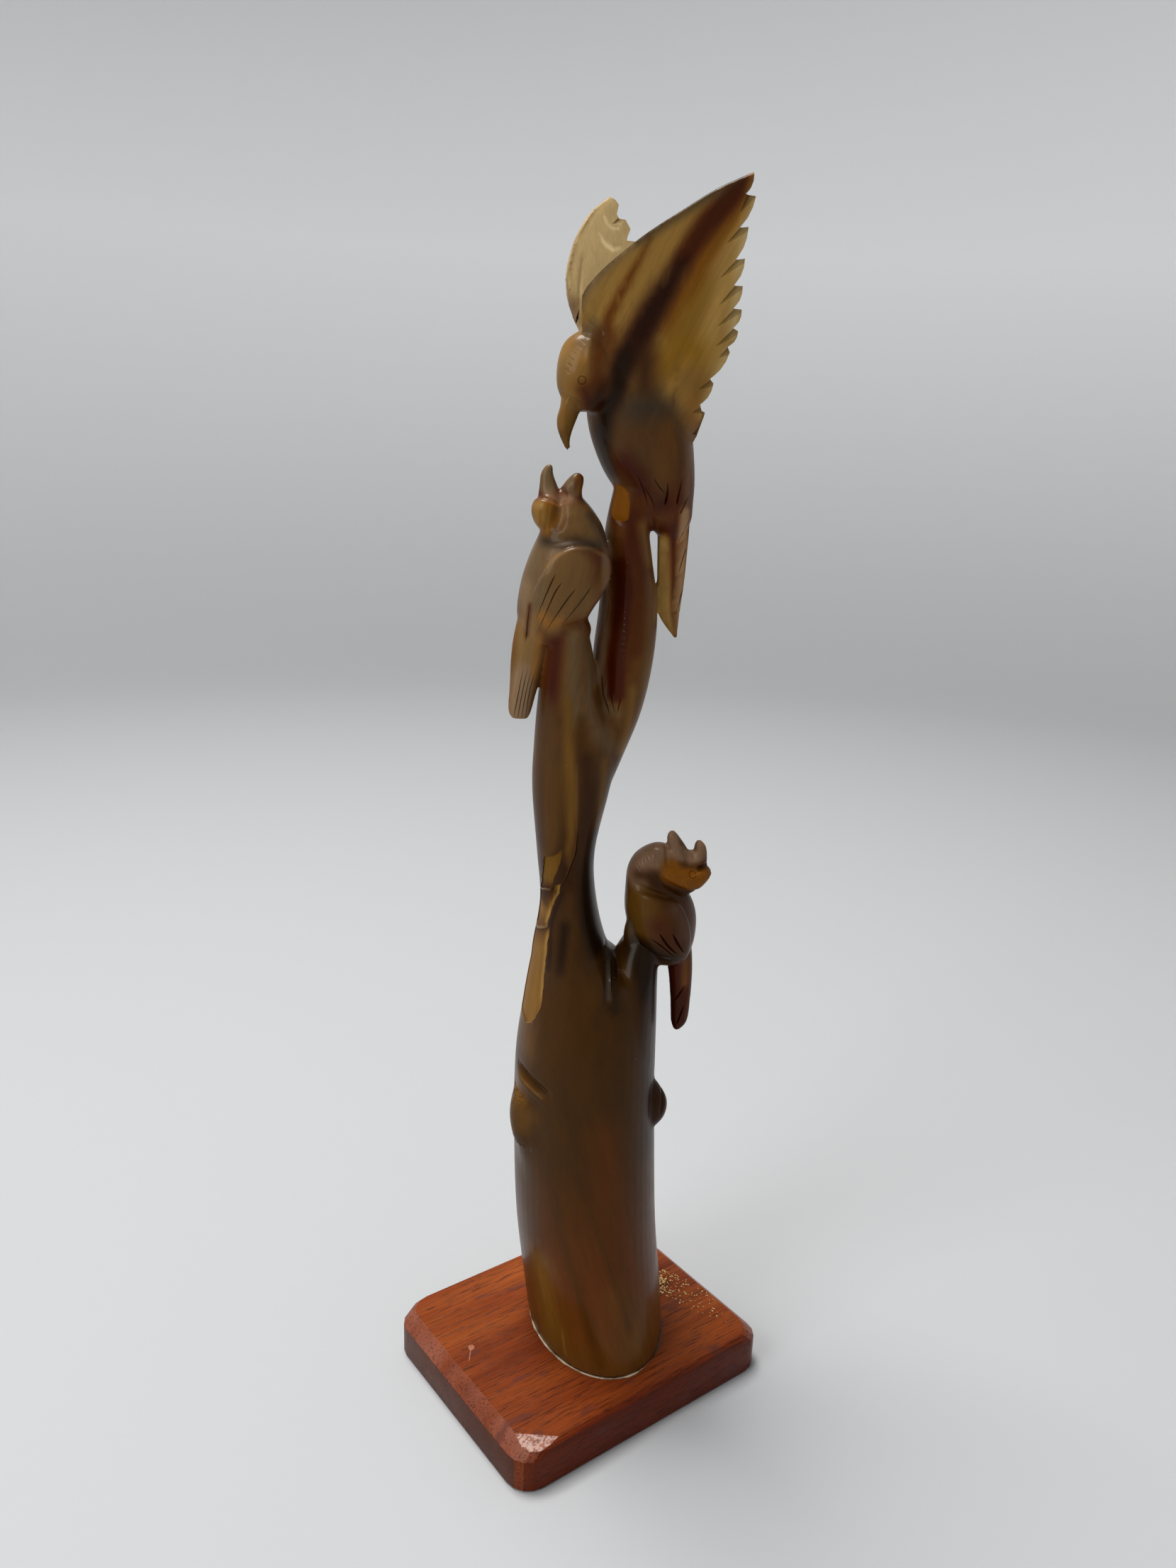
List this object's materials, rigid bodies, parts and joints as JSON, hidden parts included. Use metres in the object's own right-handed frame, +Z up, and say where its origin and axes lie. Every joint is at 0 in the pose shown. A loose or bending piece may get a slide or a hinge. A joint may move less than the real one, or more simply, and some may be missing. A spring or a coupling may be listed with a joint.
{
  "type": "horn bird carving",
  "caption": "Tall tree trunk carved from one horn, with a wings-raised adult bird and begging chicks on its forks, on a wooden plinth, for display on a shelf",
  "frame": {"origin": "centre of the plinth's underside", "axes": "+Z up, +X along the plinth's long side, +Y along its short side"},
  "size_m": [0.1, 0.08, 0.3752],
  "materials": {
    "horn": "satin polished horn, brown with amber and grey-green streaks, translucent where thin",
    "plinth_wood": "reddish brown hardwood with a worn satin varnish"
  },
  "bodies": {
    "root": {"carving": "horn", "plinth": "plinth_wood"}
  },
  "joints": []
}
